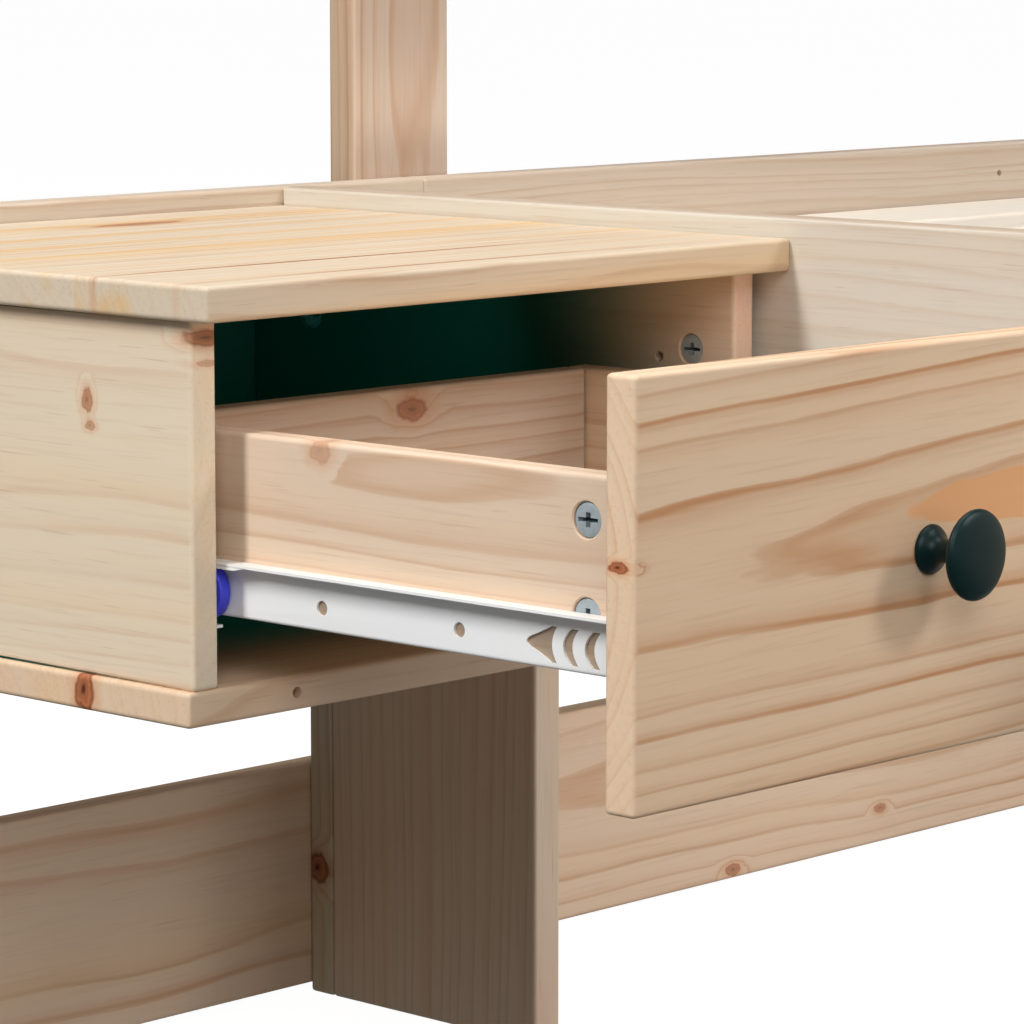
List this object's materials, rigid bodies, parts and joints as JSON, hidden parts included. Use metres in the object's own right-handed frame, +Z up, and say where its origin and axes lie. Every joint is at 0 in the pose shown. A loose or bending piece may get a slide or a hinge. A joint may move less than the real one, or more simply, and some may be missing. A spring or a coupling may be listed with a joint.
{
  "type": "bed with bedside cabinets",
  "caption": "Solid pine double bed frame with slats, L-shaped legs and a bedside drawer cabinet fixed to each side of the head; the drawers run on roller runners.",
  "frame": {"origin": "on the floor, in the middle of the footprint", "axes": "+Z up, head of the bed at +Y, drawers open towards -Y, left cabinet at -X"},
  "size_m": [2.2308, 2.076, 1],
  "materials": {
    "pine": "planed and sanded, unfinished",
    "base_board": "thin plywood, unfinished",
    "knob_lacquer": "satin dark lacquer",
    "runner_steel": "white powder coat on sheet steel",
    "roller_nylon": "moulded nylon",
    "fitting_zinc": "zinc plated"
  },
  "bodies": {
    "bed": {"headboard_post_left": "pine", "headboard_post_right": "pine", "outer_post_left": "pine", "outer_post_right": "pine", "upper_back_board_left": "pine", "upper_back_board_centre": "pine", "upper_back_board_right": "pine", "lower_back_board_left": "pine", "lower_back_board_centre": "pine", "lower_back_board_right": "pine", "headboard_top_board": "pine", "headboard_low_board": "pine", "side_rail_left": "pine", "side_rail_right": "pine", "foot_rail": "pine", "head_leg_left_side": "pine", "head_leg_left_end": "pine", "head_leg_right_side": "pine", "head_leg_right_end": "pine", "foot_leg_left_side": "pine", "foot_leg_left_end": "pine", "foot_leg_right_side": "pine", "foot_leg_right_end": "pine", "slat_ledge_left": "pine", "slat_ledge_right": "pine", "centre_beam": "pine", "centre_feet": "pine", "slats": "pine", "frame_bolts": "fitting_zinc", "cabinet_left_top": "pine", "cabinet_left_outer_side": "pine", "cabinet_left_inner_side": "pine", "cabinet_left_bottom": "pine", "cabinet_left_runners": "runner_steel", "cabinet_right_top": "pine", "cabinet_right_outer_side": "pine", "cabinet_right_inner_side": "pine", "cabinet_right_bottom": "pine", "cabinet_right_runners": "runner_steel", "cabinet_fittings": "fitting_zinc"},
    "drawer_left": {"drawer_left_front": "pine", "drawer_left_outer_side": "pine", "drawer_left_inner_side": "pine", "drawer_left_back": "pine", "drawer_left_base": "base_board", "drawer_left_knob": "knob_lacquer", "drawer_left_runners": "runner_steel", "drawer_left_fittings": "fitting_zinc"},
    "drawer_right": {"drawer_right_front": "pine", "drawer_right_outer_side": "pine", "drawer_right_inner_side": "pine", "drawer_right_back": "pine", "drawer_right_base": "base_board", "drawer_right_knob": "knob_lacquer", "drawer_right_runners": "runner_steel", "drawer_right_fittings": "fitting_zinc"},
    "front_rollers_left": {"front_rollers_left": "roller_nylon"},
    "front_rollers_right": {"front_rollers_right": "roller_nylon"},
    "rear_rollers_left": {"rear_rollers_left": "roller_nylon"},
    "rear_rollers_right": {"rear_rollers_right": "roller_nylon"}
  },
  "joints": [
    {"name": "drawer_left_slide", "type": "slide", "parent": "bed", "child": "drawer_left", "axis": [0, -1, 0], "range_m": [-0.2395, 0]},
    {"name": "drawer_right_slide", "type": "slide", "parent": "bed", "child": "drawer_right", "axis": [0, -1, 0], "range_m": [0, 0.2395]},
    {"name": "front_rollers_left_spin", "type": "hinge", "parent": "bed", "child": "front_rollers_left", "pos_m": [-0.9217, 0.6718, 0.307], "axis": [1, 0, 0], "range_deg": [-1105.1, 0]},
    {"name": "front_rollers_right_spin", "type": "hinge", "parent": "bed", "child": "front_rollers_right", "pos_m": [0.9217, 0.6718, 0.307], "axis": [1, 0, 0], "range_deg": [0, 1105.1]},
    {"name": "rear_rollers_left_spin", "type": "hinge", "parent": "drawer_left", "child": "rear_rollers_left", "pos_m": [-0.9217, 0.7013, 0.3045], "axis": [1, 0, 0], "range_deg": [-1150.9, 0]},
    {"name": "rear_rollers_right_spin", "type": "hinge", "parent": "drawer_right", "child": "rear_rollers_right", "pos_m": [0.9217, 0.9408, 0.3045], "axis": [1, 0, 0], "range_deg": [0, 1150.9]}
  ],
  "couplings": [
    {"joint": "front_rollers_left_spin", "follows": "drawer_left_slide", "rad_per_m": 80},
    {"joint": "front_rollers_right_spin", "follows": "drawer_right_slide", "rad_per_m": 80},
    {"joint": "rear_rollers_left_spin", "follows": "drawer_left_slide", "rad_per_m": 83.333},
    {"joint": "rear_rollers_right_spin", "follows": "drawer_right_slide", "rad_per_m": 83.333}
  ]
}
